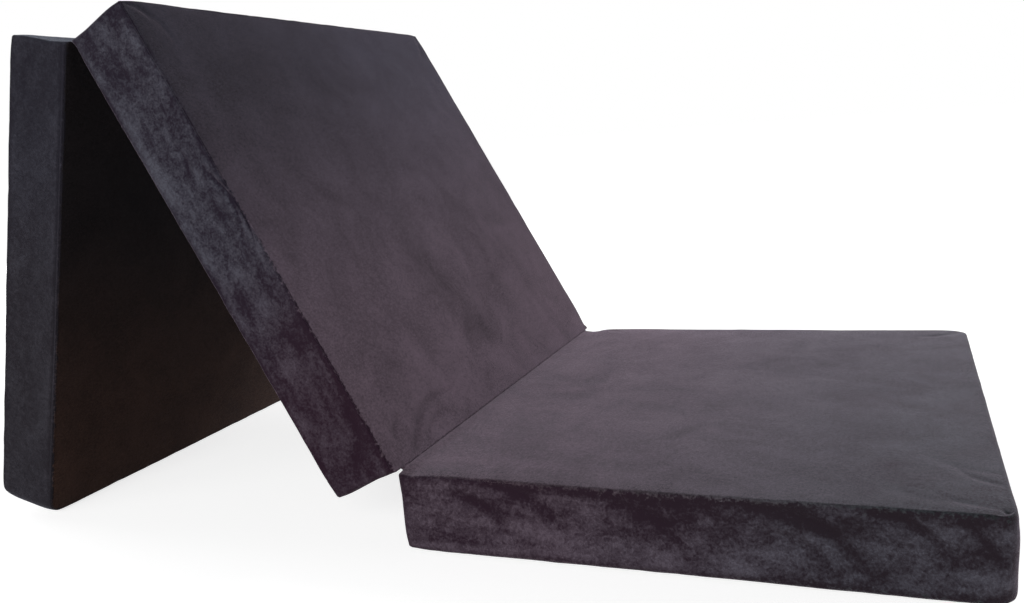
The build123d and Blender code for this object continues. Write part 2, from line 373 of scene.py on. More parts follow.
def sampled(field, across, up):
    """A field's value between its grid points, at shares of its two sides."""
    column = np.clip(across, 0, 1) * (field.shape[0] - 1)
    row = np.clip(up, 0, 1) * (field.shape[1] - 1)
    left = np.minimum(column.astype(int), field.shape[0] - 2)
    below = np.minimum(row.astype(int), field.shape[1] - 2)
    column, row = column - left, row - below
    lower = field[left, below] * (1 - column) + field[left + 1, below] * column
    upper = field[left, below + 1] * (1 - column) + field[left + 1, below + 1] * column
    return lower * (1 - row) + upper * row


def face_shares(normals):
    """How much each point's cover faces each way."""
    across, up = normals[..., 1], normals[..., 2]
    shares = {"top": up, "base": -up, "near": -across, "far": across}
    shares = {face: np.clip(share, 0, 1) ** 2 for face, share in shares.items()}
    return shares | {"ends": normals[..., 0] ** 2}


def panel_inset(section, points, normals):
    """Distance from the nearest edge in plan. A panel's end that folds into the next is no edge."""
    x, y, _ = np.moveaxis(points, -1, 0)
    from_ends = {"low": x, "high": LENGTH - x}
    for level, end in section.hinged:
        folded = normals[..., 2] * SIGN[level] > 0.7
        from_ends[end] = np.where(folded, 1.0, from_ends[end])
    return np.minimum(np.minimum(*from_ends.values()), HALF_WIDTH - np.abs(y))


def relief(section, points, normals):
    """How far the hung fabric and the creases stand out from the cover, less where they dip."""
    x, y, z = np.moveaxis(points, -1, 0)
    faces = face_shares(normals)
    hung = SLACK[section.name]
    across, up = (1 + y / HALF_WIDTH) / 2, z / HEIGHT
    hung_end = 0
    for end, here in (("low", x < LENGTH / 2), ("high", x >= LENGTH / 2)):
        stands_out = sampled(hung[end], across, up)
        if hinged_at(section, end):
            stands_out = np.minimum(stands_out, 0)
        hung_end = hung_end + here * stands_out
    rise = faces["near"] * sampled(hung["near"], x / LENGTH, up) + faces["ends"] * hung_end
    rise = rise * section.drape * smoothstep(*EDGE_FADE, np.minimum(z, HEIGHT - z))
    for face, *sizes in CREASES[section.name]:
        along = z if face == "near" else y + HALF_WIDTH
        sizes = [np.array(size) / 1000 for size in sizes]
        rise = rise - faces[face] * crease_dip(x, along, *sizes)
    return rise


def cover_dip(section, points, normals):
    """How far the cover lies under its full outline: slack, creases and puckers at the seams."""
    x, y, z = np.moveaxis(points, -1, 0)
    faces = face_shares(normals)
    flat = faces["top"] + faces["base"]
    length_share, width_share = 2 * x / LENGTH - 1, y / HALF_WIDTH
    height_share = 2 * z / HEIGHT - 1

    # The foam's faces are fullest in the middle and fall a little to the seams, but not to a fold
    free_share = length_share
    for level, end in section.hinged:
        at_fold = (faces[level] > 0.5) & (length_share * SIGN[end] > 0)
        free_share = np.where(at_fold, 0, free_share)
    dip = flat * CROWN_DEPTH * (1 - (1 - free_share**6) * (1 - width_share**6))
    for depth, scale, step in PANEL_WAVES:
        dip = dip + flat * depth * (1 + noise(points, scale, section.seed + step))
    slack = (1 - height_share**2) * (1 - length_share**4)
    sway = 1 + NEAR_SLACK_SWAY * noise(points, 7, section.seed + 2)
    dip = dip + faces["near"] * NEAR_SLACK * slack * sway
    dip = dip + faces["ends"] * END_SLACK * (1 - height_share**2) * (1 - width_share**4)
    dip = dip - relief(section, points, normals)

    # Puckers where a seam gathers the fabric
    seam_distance = np.minimum(HEIGHT - z, z)
    near_seam = np.exp(-((seam_distance / GATHER_REACH) ** 2)) * (1 - flat)
    inset = panel_inset(section, points, normals)
    near_rim = np.exp(-((inset / GATHER_REACH) ** 2)) * flat
    gathered = sum(
        depth * (0.5 + 0.5 * noise(points, scale, section.seed + step))
        for depth, scale, step in GATHERS
    )
    high_share, low_share = (PUCKERED.get((section.name, level), 1.0) for level in ("top", "base"))
    share = np.where(z > HEIGHT / 2, high_share, low_share)
    dip = dip + share * (near_seam + near_rim) * gathered

    # Corners are a little worn in, and the cover keeps its line where it folds into the next one
    for end, from_end in (("low", x), ("high", LENGTH - x)):
        for level, from_level in (("base", z), ("top", HEIGHT - z)):
            if (level, end) in section.hinged:
                dip = dip * smoothstep(*EDGE_FADE, np.hypot(from_end, from_level))
            else:
                distance = from_end**2 + from_level**2 + (HALF_WIDTH - np.abs(y)) ** 2
                dip = dip + WORN_DEPTH * np.exp(-distance / WORN_REACH**2)

    # The zip holds its two bands flat
    beside_zip = faces["far"] * smoothstep(*ZIP_HOLD, np.abs(z - HEIGHT / 2))
    return dip * (1 - beside_zip) + faces["far"] * (1 - beside_zip) * ZIP_DIP


def edge_radius(section, level, end_share, normal_x):
    """Radius of a cover's edge where its outline faces along normal_x, at its top or base."""
    low, high = (
        HINGE_EDGE_RADIUS if (level, end) in section.hinged else EDGE_RADIUS
        for end in ("low", "high")
    )
    return EDGE_RADIUS + (np.where(end_share < 0.5, low, high) - EDGE_RADIUS) * normal_x**2


def seam_depth_share(section, level, radius):
    """How deep a seam is pulled in, as a share. One that is drawn into a fold hardly shows."""
    pulled = SEAM_PULL.get((section.name, level), 1.0)
    return pulled * (0.02 + 0.98 * smoothstep(HINGE_EDGE_RADIUS, EDGE_RADIUS, radius))


def corner_radius(section, end):
    return HINGE_CORNER_RADIUS if hinged_at(section, end) else CORNER_RADIUS


def stations(length):
    """Places along a panel, close together round its edges: seam lip, rounding, then even steps."""
    lip = EDGE_RADIUS * (1 - sin(SEAM_ANGLE)) - np.array(PANEL_LIP_STEPS)
    rounding = EDGE_RADIUS * (1 - np.sin(SEAM_ANGLE * np.linspace(1, 0, ROUNDING_ROWS)))
    spread = EDGE_RADIUS + np.array(RIM_STARTS)
    edge = np.concatenate([lip, rounding, spread])
    rim = np.arange(edge[-1] + RIM_STEP, RIM_WIDTH, RIM_STEP)
    edge = np.concatenate([edge, rim])
    count = int(round((length - 2 * edge[-1]) / GRID_STEP))
    inner = np.linspace(edge[-1], length - edge[-1], count + 1)[1:-1]
    return np.concatenate([edge, inner, length - edge[::-1]])


def panel_grid(section, level):
    """Points and normals of a top or base panel's outer face, with its seam lip turned in."""
    places_x, places_y = stations(LENGTH), stations(2 * HALF_WIDTH) - HALF_WIDTH
    across, along = np.meshgrid(places_x, places_y, indexing="ij")
    row, column = np.indices(across.shape)
    row_ring = np.minimum(row, len(places_x) - 1 - row)
    ring = np.minimum(row_ring, np.minimum(column, len(places_y) - 1 - column))
    low_end = across < LENGTH / 2
    radius = np.where(low_end, corner_radius(section, "low"), corner_radius(section, "high"))
    from_end = np.minimum(across, LENGTH - across)
    from_side = HALF_WIDTH - np.abs(along)
    past_x, past_y = radius - from_end, radius - from_side
    in_corner = (past_x > 0) & (past_y > 0)
    reach = np.maximum(past_x, past_y)
    span = np.maximum(np.hypot(past_x, past_y), 1e-9)
    sign_x, sign_y = np.where(low_end, -1, 1), np.where(along < 0, -1, 1)
    normal_x = np.where(in_corner, past_x / span, from_end < from_side) * sign_x
    normal_y = np.where(in_corner, past_y / span, from_end >= from_side) * sign_y
    inset = np.where(in_corner, radius - reach, np.minimum(from_end, from_side))
    centre_x = np.where(low_end, radius, LENGTH - radius)
    centre_y = sign_y * (HALF_WIDTH - radius)
    x = np.where(in_corner, centre_x + reach * normal_x, across)
    y = np.where(in_corner, centre_y + reach * normal_y, along)

    # The rounding narrows at a hinged edge, and the rows beside it spread to fill the rest
    soft = edge_radius(section, level, across / LENGTH, normal_x)
    inner_share = np.clip((inset - EDGE_RADIUS) / (RIM_SETTLED - EDGE_RADIUS), 0, 1)
    spread = soft + inner_share * (RIM_SETTLED - soft)
    narrowed = np.where(inset < EDGE_RADIUS, inset * soft / EDGE_RADIUS, spread)
    narrowed = np.where(inset < RIM_SETTLED, narrowed, inset)
    x, y = x + normal_x * (inset - narrowed), y + normal_y * (inset - narrowed)
    outward = np.clip((soft - narrowed) / soft, 0, 1)
    upward = np.sqrt(1 - outward**2)
    points = np.stack([x, y, HEIGHT - soft * (1 - upward)], -1)
    normals = np.stack([normal_x * outward, normal_y * outward, upward], -1)
    if level == "base":
        points[..., 2] = HEIGHT - points[..., 2]
        normals[..., 2] *= -1
    depth = np.zeros(ring.shape)
    for index, lip_depth in enumerate(LIP_DEPTHS):
        depth[ring == index] = lip_depth
    return points, normals, depth * seam_depth_share(section, level, soft)


def outline(section):
    """Points and outward normals round a section's plan, from the zip's end to its start."""
    places, facing = [], []

    def straight(start, end, normal):
        count = max(2, int(round(np.hypot(*np.subtract(end, start)) / BAND_STEP)))
        for share in np.linspace(0, 1, count + 1)[:-1]:
            places.append(np.array(start) + share * np.subtract(end, start))
            facing.append(normal)

    def corner(centre, radius, first_angle):
        for turn in np.linspace(0, -pi / 2, CORNER_COLUMNS)[:-1]:
            normal = (cos(first_angle + turn), sin(first_angle + turn))
            places.append(np.array(centre) + radius * np.array(normal))
            facing.append(normal)

    low, high = corner_radius(section, "low"), corner_radius(section, "high")
    far, near = HALF_WIDTH, -HALF_WIDTH
    straight((ZIP_END, far), (LENGTH - high, far), (0, 1))
    corner((LENGTH - high, far - high), high, pi / 2)
    straight((LENGTH, far - high), (LENGTH, near + high), (1, 0))
    corner((LENGTH - high, near + high), high, 0)
    straight((LENGTH - high, near), (low, near), (0, -1))
    corner((low, near + low), low, -pi / 2)
    straight((0, near + low), (0, far - low), (-1, 0))
    corner((low, far - low), low, pi)
    straight((low, far), (ZIP_START, far), (0, 1))
    places.append(np.array((ZIP_START, far)))
    facing.append((0, 1))
    return np.array(places), np.array(facing, float)


def band_grid(section, places, facing, base_hem=None, top_hem=None):
    """Points, normals and lip depths of a side band's outer face, rows from its base seam up.

    A hem given as a height ends the band there, in place of a panel's seam.
    """
    end_share = places[:, 0] / LENGTH
    radii = {
        level: edge_radius(section, level, end_share, facing[:, 0]) for level in ("base", "top")
    }

    def ring_row(level, angle, depth=0.0):
        radius = radii[level]
        outward, upward = sin(angle), cos(angle)
        height = HEIGHT - radius * (1 - upward) if level == "top" else radius * (1 - upward)
        inset = radius * (1 - outward)
        point = np.stack([*(places - facing * inset[:, None]).T, height], -1)
        rise = np.full(len(places), SIGN[level] * upward)
        return point, np.stack([*(facing * outward).T, rise], -1), depth

    def wall_row(height, depth=0.0):
        point = np.stack([*places.T, np.full(len(places), height)], -1)
        return point, np.stack([*facing.T, np.zeros(len(places))], -1), depth

    def edge_rows(level, hem):
        """Rows from a seam or hem to the straight wall, and the height at which that begins."""
        if hem is not None:
            inward = -SIGN[level]
            rows = [wall_row(hem + inward * step, depth) for step, depth in lips]
            start = hem + inward * LIP_START
            return [*rows, wall_row(start)], start
        rows = [ring_row(level, SEAM_ANGLE + step / EDGE_RADIUS, depth) for step, depth in lips]
        rounding = np.linspace(1, 0, ROUNDING_ROWS)[1:]
        angles = SEAM_ANGLE + (pi / 2 - SEAM_ANGLE) * (1 - rounding)
        rows += [ring_row(level, angle) for angle in angles]
        radius = radii[level].max()
        return rows, HEIGHT - radius if level == "top" else radius

    lips = list(zip(LIP_STEPS, LIP_DEPTHS))
    low_rows, bottom = edge_rows("base", base_hem)
    high_rows, ceiling = edge_rows("top", top_hem)
    steps = max(2, int(round((ceiling - bottom) / BAND_ROW)))
    wall = [wall_row(height) for height in np.linspace(bottom, ceiling, steps + 1)[1:-1]]
    rows = low_rows + wall + high_rows[::-1]
    points, normals = (np.array([row[part] for row in rows]) for part in (0, 1))
    depths = np.array([np.full(len(places), depth) for _, _, depth in rows])
    half = len(rows) // 2
    depths[:half] *= seam_depth_share(section, "base", radii["base"])
    depths[half:] *= seam_depth_share(section, "top", radii["top"])
    return points, normals, depths


def reach_fold(section, points):
    """Draws a cover's folded edges out to their fold, and the corners beside it in."""
    x, y, z = np.moveaxis(points, -1, 0)
    for level, end in section.hinged:
        height = z if level == "top" else HEIGHT - z
        from_end = x if end == "low" else LENGTH - x
        distance = from_end**2 + (HEIGHT - height) ** 2 + (HALF_WIDTH - np.abs(y)) ** 2
        worn = np.exp(-distance / HINGE_CORNER_REACH**2)
        wear = np.where(y < 0, *HINGE_CORNER_WEAR[section.name]) * worn
        y = y - np.sign(y) * WEAR_ACROSS * wear
        z = z - SIGN[level] * WEAR_DOWN * wear
        lowest, full = (HEIGHT - depth for depth in FOLD_DEPTHS)
        share = (1 - smoothstep(0, FOLD_REACH, from_end)) * smoothstep(lowest, full, height)
        x = x + (HALF_GAP - FOLD_PARTING) * share * SIGN[end]
    return np.stack([x, y, z], -1)


def smooth_mesh(name, points, quads):
    mesh = bpy.data.meshes.new(name)
    mesh.from_pydata(points.tolist(), [], quads)
    mesh.shade_smooth()
    return mesh


def grid_mesh(name, points):
    """Mesh of a grid of points, one quad between each four."""
    rows, columns = points.shape[:2]
    index = np.arange(rows * columns).reshape(rows, columns)
    corners = [index[:-1, :-1], index[1:, :-1], index[1:, 1:], index[:-1, 1:]]
    quads = np.stack(corners, -1).reshape(-1, 4)
    return smooth_mesh(name, points.reshape(-1, 3), quads.tolist())


def add_piece(name, mesh, material, place):
    piece = add_object(name, mesh)
    piece.matrix_world = place
    mesh.materials.append(material)
    return piece


def thicken(piece, thickness, offset):
    shell = piece.modifiers.new("fabric", "SOLIDIFY")
    shell.thickness = thickness
    shell.offset = offset


def seam_share(depth):
    """1 on a seam's lips, fading over the rows beside them."""
    share = lips = np.clip(depth / LIP_DEPTHS[-1], 0, 1)
    for fade in (0.8, 0.45, 0.15):
        grown = np.pad(lips, 1)
        beside = [grown[:-2, 1:-1], grown[2:, 1:-1], grown[1:-1, :-2], grown[1:-1, 2:]]
        lips = np.maximum.reduce([*beside, lips])
        share = np.maximum(share, lips * fade)
    return share


def lit_and_brushed_share(section, points, normals):
    """Pile lighter (above 0), darker (below 0): brushed, rubbed, painted light and painted shade.
    """
    share = np.zeros(points.shape[:-1])
    faces = face_shares(normals)
    x, y, z = np.moveaxis(points, -1, 0)
    for name, face, centre, reach, most in LIT_AND_BRUSHED_SPOTS:
        if name == section.name:
            along = z if face == "near" else y + HALF_WIDTH
            spot = sum(
                np.abs((value - middle / 1000) / (size / 1000)) ** 3
                for value, middle, size in zip((x, along), centre, reach)
            )
            share = share + most * np.exp(-spot) * (faces[face] > 0.3)
    return share


def panel_reach(section, points, normals):
    """Distance in from where the panel's calm pile begins, below 0 on the side bands."""
    x, _, z = np.moveaxis(points, -1, 0)
    at_end, past_end = RAGGED[section.name]
    ragged = at_end + (past_end - at_end) * smoothstep(*RAGGED_CHANGE, x)
    return panel_inset(section, points, normals) - np.minimum(z, HEIGHT - z) - ragged


def cover_piece(section, node, grid, material, flip=False):
    """One fabric piece of a cover: its grid dipped and turned into a thin closed shell.

    The fields kept on its points tell the velour how its pile lies and where it paints light and
    shade.
    """
    name = f"{node}_cover"
    points, normals, depth = grid
    dip = cover_dip(section, points, normals) + depth
    mesh = grid_mesh(name, reach_fold(section, points - normals * dip[..., None]))
    fields = {
        "seam": seam_share(depth),
        "lit_and_brushed": lit_and_brushed_share(section, points, normals),
        "fold_shading": np.clip(relief(section, points, normals) / RIDGE_RISE, -1, 1),
        "reach": panel_reach(section, points, normals),
    }
    for field, values in fields.items():
        mesh.attributes.new(field, "FLOAT", "POINT").data.foreach_set("value", values.ravel())
    if flip:
        mesh.flip_normals()
    piece = add_piece(name, mesh, material, section.place)
    thicken(piece, COVER_THICKNESS, -1)
    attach(piece, f"{section.name}_section")
    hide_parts(node)


def rounded_block(low, high, radius, step):
    """Points, normals and quads of a block with rounded edges, its six gridded faces welded."""
    low, high = np.array(low), np.array(high)
    counts = [int(round((high[k] - low[k]) / step)) for k in range(3)]
    lines = [np.linspace(low[k], high[k], counts[k] + 1) for k in range(3)]
    keys, quads = {}, []
    for axis in range(3):
        second, third = (axis + 1) % 3, (axis + 2) % 3
        for end in (0, counts[axis]):
            for j in range(counts[second]):
                for k in range(counts[third]):
                    ring = [(j, k), (j + 1, k), (j + 1, k + 1), (j, k + 1)]
                    quad = []
                    for a, b in ring if end else ring[::-1]:
                        key = [0, 0, 0]
                        key[axis], key[second], key[third] = end, a, b
                        quad.append(keys.setdefault(tuple(key), len(keys)))
                    quads.append(quad)
    points = np.array([[lines[k][key[k]] for k in range(3)] for key in keys])
    core = np.clip(points, low + radius, high - radius)
    normals = points - core
    normals /= np.linalg.norm(normals, axis=1)[:, None]
    return core + radius * normals, normals, quads


def foam_block(section):
    """The section's foam, slightly worn in, inside its cover."""
    low = (FOAM_INSET, FOAM_INSET - HALF_WIDTH, FOAM_INSET)
    high = (LENGTH - FOAM_INSET, HALF_WIDTH - FOAM_INSET, HEIGHT - FOAM_INSET)
    points, normals, quads = rounded_block(low, high, FOAM_RADIUS, FOAM_STEP)
    seed = section.seed
    wear = sum(depth * noise(points, scale, seed + step) for depth, scale, step in FOAM_WEAR)
    points = points + normals * wear[:, None]
    mesh = smooth_mesh(f"{section.name}_foam", points, quads)
    piece = add_piece(f"{section.name}_foam_block", mesh, FOAM, section.place)
    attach(piece, f"{section.name}_section")
    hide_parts(f"{section.name}_foam_core")


def fold_strip(name, level, parent, child, nodes, fabric):
    """The fabric strip of a fold at a section's top or base, bending about the fold's axis.

    It runs up the parent's low end and down the child's high end, between their side bands.
    """
    depths = np.linspace(WEB_FLANGE, FLANGE_START, 5)
    profile = np.array([(HALF_GAP - WEB_CLEARANCE, depth) for depth in depths] + list(WEB_BEND))
    steps = int(round(2 * WEB_HALF / WEB_STEP))
    along = np.linspace(-WEB_HALF, WEB_HALF - WEB_FAR_CUT, steps + 1)
    axis_z = HEIGHT + FOLD_LIFT if level == "top" else -FOLD_LIFT
    rows = []
    for section, axis_x, outward, points in (
        (parent, -HALF_GAP, 1, profile),
        (child, LENGTH + HALF_GAP, -1, profile[::-1]),
    ):
        axis = Vector((axis_x, 0, axis_z))
        for out, depth in points:
            spot = np.stack([along, along * 0 + out, along * 0 + depth * outward], -1)
            slack = 0.0005 * smoothstep(0.004, 0.009, depth) * (1 + noise(spot, 70, 5))
            x = axis.x + outward * (out - slack)
            z = np.full(len(along), axis.z - SIGN[level] * depth)
            row = np.stack([x, along, z], -1)
            rows.append([(section.place @ Vector(point))[:] for point in row])
    rows = np.array(rows)
    piece = add_piece(name, grid_mesh(name, rows), fabric, Matrix.Identity(4))
    thicken(piece, WEB_THICKNESS, 0)
    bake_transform(piece)
    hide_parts(*nodes)


# Materials


def add_node(tree, kind, inputs=(), **settings):
    """A shader node. Its inputs are values or sockets, by name or place or all in order."""
    made = tree.nodes.new(kind)
    for key, value in settings.items():
        setattr(made, key, value)
    for key, value in inputs.items() if isinstance(inputs, dict) else enumerate(inputs):
        if isinstance(value, bpy.types.NodeSocket):
            tree.links.new(value, made.inputs[key])
        else:
            made.inputs[key].default_value = value
    return made


def math_node(tree, operation, first, second=0.0, clamp=False):
    inputs = (first, second)
    made = add_node(tree, "ShaderNodeMath", inputs, operation=operation, use_clamp=clamp)
    return made.outputs[0]


def noise_node(tree, place, scale, detail=2.0, roughness=0.5, distortion=0.0):
    inputs = {"Vector": place, "Scale": scale, "Detail": detail}
    inputs |= {"Roughness": roughness, "Distortion": distortion}
    return add_node(tree, "ShaderNodeTexNoise", inputs).outputs["Fac"]


def ramp_node(tree, value, low, high, low_out=0.0, high_out=1.0):
    """A value's smooth way from low_out at low to high_out at high."""
    inputs = (value, low, high, low_out, high_out)
    return add_node(tree, "ShaderNodeMapRange", inputs, interpolation_type="SMOOTHSTEP").outputs[0]


def mix_colour(tree, share, first, second):
    inputs = {0: share, 6: first, 7: second}
    return add_node(tree, "ShaderNodeMix", inputs, data_type="RGBA").outputs[2]


def new_material(name):
    material = bpy.data.materials.new(name)
    material.use_nodes = True
    tree = material.node_tree
    tree.nodes.clear()
    surface = tree.nodes.new("ShaderNodeBsdfPrincipled")
    output = tree.nodes.new("ShaderNodeOutputMaterial")
    tree.links.new(surface.outputs[0], output.inputs[0])
    return material, tree, surface, add_node(tree, "ShaderNodeTexCoord").outputs["Object"]


def set_surface(tree, surface, tone, height, strength, distance, levels):
    """Gives a surface its tone, its bump and its plain levels."""
    inputs = {"Height": height, "Strength": strength, "Distance": distance}
    bump = add_node(tree, "ShaderNodeBump", inputs)
    tree.links.new(tone, surface.inputs["Base Color"])
    tree.links.new(bump.outputs[0], surface.inputs["Normal"])
    for key, value in levels.items():
        surface.inputs[key].default_value = value


# The velour's random fields: (scale, detail, roughness, distortion)
PILE_FIELDS = {
    "smudge": (11.0, 5.0, 0.65, 0.6),
    "patch": (15.0, 3.0, 0.55, 0.8),
    "streak": (46.0, 3.0, 0.55, 0.4),
    "clump": (115.0, 3.0, 0.6, 0.7),
    "fleck": (330.0, 2.0, 0.6, 0.4),
    "grain": (420.0, 2.0, 0.6),
    "speck": (480.0, 2.0, 0.6),
    "pile": (1100.0, 2.0, 0.7),
}
MEAN_SHARE = 0.45
# Tone of the painted highlight in places along the seams
SEAM_HIGHLIGHT_TONE = (0.06, 0.055, 0.07, 1)


def velour(
    name,
    panel,
    deep,
    crushed,
    mottling,
    streaks,
    streak_turn,
    light_drift_span,
    sheen,
    sheen_tint=(0.86, 0.74, 0.90, 1),
    grain_gain=1.0,
    panel_to=0.66,
):
    """Crushed velour: a calm pile on the panels, a dark pile with crushed flecks on the sides.

    Its tones are (low end, high end) pairs: the panels' one, and the sides' deep and crushed ones.
    Their change from end to end is painted light and shade, a drift in brightness and hue as the
    light fell along the section. The panels' second tone is reached at panel_to, and the sides'
    second ones over light_drift_span.
    """
    material, tree, surface, place = new_material(name)
    seam, lit_and_brushed, fold_shading, reach = (
        add_node(tree, "ShaderNodeAttribute", attribute_name=key).outputs["Fac"]
        for key in ("seam", "lit_and_brushed", "fold_shading", "reach")
    )
    stretches = {
        "streak": {0: place, 2: (0.0, streak_turn, 0.0), 3: (0.30, 1.0, 1.0)},
        "grain": {0: place, 3: (1.0, 0.45, 1.0)},
    }
    places = {
        key: add_node(tree, "ShaderNodeMapping", inputs).outputs[0]
        for key, inputs in stretches.items()
    }
    smudge, patch, streak, clump, fleck, grain, speck, pile = (
        noise_node(tree, places.get(key, place), *settings)
        for key, settings in PILE_FIELDS.items()
    )

    def weighted(first, *rest):
        total = first
        for field, weight in rest:
            total = math_node(tree, "ADD", total, math_node(tree, "MULTIPLY", field, weight))
        return total

    # The sides: crushed flecks on a deep pile. Slanting streaks along the folds and lighter fold
    # ridges are painted light and shade, and a painted shade darkens the band below the panels.
    fields = ((patch, 0.6), (streak, streaks), (clump, 0.9), (fleck, 0.9), (fold_shading, 0.35))
    crush = weighted(0.55 - streaks / 2, *fields)
    shade = ramp_node(tree, reach, -0.015, -0.005)
    crush = ramp_node(tree, weighted(crush, (lit_and_brushed, 0.4), (shade, -0.22)), 1.38, 2.46)
    bright = math_node(tree, "MULTIPLY", ramp_node(tree, speck, 0.50, 0.70), crush)
    crush = math_node(tree, "SUBTRACT", weighted(crush, (bright, 0.4)), MEAN_SHARE)
    share = math_node(tree, "MULTIPLY", crush, mottling)
    share = math_node(tree, "ADD", share, MEAN_SHARE, clamp=True)
    along = add_node(tree, "ShaderNodeSeparateXYZ", (place,)).outputs[0]
    drift = noise_node(tree, place, 5.0, 2.0)
    light_drift = ramp_node(tree, weighted(along, (drift, 0.2)), *light_drift_span)
    side = mix_colour(
        tree, share, mix_colour(tree, light_drift, *deep), mix_colour(tree, light_drift, *crushed)
    )

    # The panels: a calm pile with a fine grain and soft smudges, brushed spots, and painted light
    # and shade in spots, over the folds and from end to end
    level = weighted(-1.6, (grain, 0.9), (smudge, 1.3), (fleck, 1.0))
    level = weighted(1.0, (level, grain_gain), (lit_and_brushed, 0.5), (fold_shading, 0.25))
    tone = mix_colour(tree, ramp_node(tree, along, 0.0, panel_to), *panel)
    scaled = add_node(tree, "ShaderNodeVectorMath", {0: tone, 3: level}, operation="SCALE")

    # A ragged edge between the two, and a painted broken highlight in places along the seams
    edge = weighted(reach, (clump, 0.026), (fleck, 0.022))
    tone = mix_colour(tree, ramp_node(tree, edge, 0.021, 0.0275), side, scaled.outputs[0])
    seam_highlight = math_node(tree, "MULTIPLY", seam, ramp_node(tree, fleck, 0.46, 0.62, 0.0, 0.35))
    seam_highlight = math_node(tree, "MULTIPLY", seam_highlight, ramp_node(tree, patch, 0.50, 0.62))
    tone = mix_colour(tree, seam_highlight, tone, SEAM_HIGHLIGHT_TONE)
    lay = math_node(tree, "ADD", math_node(tree, "MULTIPLY", crush, 0.35), pile)
    levels = {
        "Roughness": 0.75,
        "Specular IOR Level": 0.02,
        "Sheen Weight": sheen,
        "Sheen Roughness": 0.38,
        "Sheen Tint": sheen_tint,
    }
    set_surface(tree, surface, tone, lay, 0.55, 0.001, levels)
    return material


def foam_material():
    """Cream open-cell foam."""
    material, tree, surface, place = new_material("foam")
    cells = add_node(tree, "ShaderNodeTexVoronoi", {"Vector": place, "Scale": 700.0})
    height = cells.outputs["Distance"]
    age = noise_node(tree, place, 9.0, 3.0)
    tone = mix_colour(tree, age, (0.74, 0.70, 0.58, 1), (0.86, 0.84, 0.76, 1))
    # Darker in the pores' hollows: a painted shade
    pore_shade = ramp_node(tree, height, 0.0, 0.5, 0.35, 0.0)
    tone = mix_colour(tree, pore_shade, tone, (0.45, 0.40, 0.30, 1))
    set_surface(tree, surface, tone, height, 0.6, 0.001, {"Roughness": 0.95})
    return material


def tape_material():
    """Black woven polyester tape in a herringbone."""
    material, tree, surface, place = new_material("zip_tape")
    rib_pitch, band_width = 0.0011, 0.0016
    parts = add_node(tree, "ShaderNodeSeparateXYZ", (place,)).outputs
    slant = math_node(tree, "PINGPONG", parts[2], band_width)
    run = math_node(tree, "ADD", parts[0], slant)
    rib = math_node(tree, "SINE", math_node(tree, "MULTIPLY", run, 2 * pi / rib_pitch))
    rib = ramp_node(tree, rib, -1.0, 1.0)
    fuzz = noise_node(tree, place, 600.0, 3.0)
    tone = mix_colour(tree, rib, (0.009, 0.008, 0.011, 1), (0.026, 0.023, 0.03, 1))
    fuzz_share = math_node(tree, "MULTIPLY", fuzz, 0.4)
    tone = mix_colour(tree, fuzz_share, tone, (0.034, 0.031, 0.039, 1))
    levels = {"Roughness": 0.85, "Specular IOR Level": 0.12, "Sheen Weight": 0.04}
    set_surface(tree, surface, tone, rib, 0.7, 0.0003, levels)
    return material


def hard_material(name, dark, light, roughness, metal):
    """Moulded or enamelled zip parts, rubbed lighter in places."""
    material, tree, surface, place = new_material(name)
    wear = noise_node(tree, place, 210.0, 4.0, 0.6)
    tone = mix_colour(tree, ramp_node(tree, wear, 0.45, 0.7), dark, light)
    rough = ramp_node(tree, wear, 0.3, 0.7, roughness, roughness * 0.7)
    tree.links.new(rough, surface.inputs["Roughness"])
    grain = noise_node(tree, place, 1500.0, 2.0)
    set_surface(tree, surface, tone, grain, 0.2, 0.0002, {"Metallic": metal})
    return material


# Velour tones as (low end, high end) pairs. Their change from end to end is painted light and
# shade.
HEAD_PILE = {
    "deep": ((0.011, 0.0095, 0.0125, 1), (0.0105, 0.0098, 0.0145, 1)),
    "crushed": ((0.04, 0.04, 0.05, 1), (0.04, 0.042, 0.056, 1)),
    "mottling": 0.75,
    "streaks": 0.3,
    "streak_turn": 0.0,
    "light_drift_span": (0.30, 0.70),
    "sheen": 0.16,
    "sheen_tint": (0.74, 0.80, 0.98, 1),
}
VELOURS = {
    "foot": velour(
        "velour_foot",
        panel=((0.052, 0.036, 0.046, 1), (0.026, 0.03, 0.034, 1)),
        deep=((0.0185, 0.0104, 0.0172, 1), (0.016, 0.0122, 0.0166, 1)),
        crushed=((0.086, 0.068, 0.089, 1), (0.07, 0.071, 0.09, 1)),
        mottling=1.0,
        streaks=1.1,
        streak_turn=radians(-38),
        light_drift_span=(0.25, 0.65),
        sheen=0.22,
        grain_gain=2.0,
    ),
    "middle": velour(
        "velour_middle",
        panel=((0.021, 0.021, 0.03, 1), (0.069, 0.05, 0.065, 1)),
        deep=((0.0135, 0.011, 0.0182, 1), (0.0178, 0.0092, 0.0162, 1)),
        crushed=((0.061, 0.064, 0.083, 1), (0.063, 0.05, 0.067, 1)),
        mottling=1.05,
        streaks=1.0,
        streak_turn=radians(-12),
        light_drift_span=(0.35, 0.70),
        sheen=0.20,
    ),
    "head": velour(
        "velour_head", panel=((0.04, 0.035, 0.046, 1), (0.022, 0.022, 0.031, 1)), **HEAD_PILE
    ),
    # The head's base panel: the head's velour in painted shade, dark towards the fold and warm low
    # down with painted floor light
    "head_base": velour(
        "velour_head_base",
        panel=((0.05, 0.031, 0.025, 1), (0.012, 0.0108, 0.0122, 1)),
        panel_to=0.48,
        **HEAD_PILE,
    ),
}
FOAM = foam_material()
TAPE = tape_material()
TEETH = hard_material(
    "zip_teeth", (0.013, 0.012, 0.015, 1), (0.03, 0.028, 0.034, 1), roughness=0.48, metal=0.0
)
ENAMEL = hard_material(
    "slider_metal", (0.035, 0.033, 0.038, 1), (0.11, 0.105, 0.11, 1), roughness=0.38, metal=0.85
)


# Sections


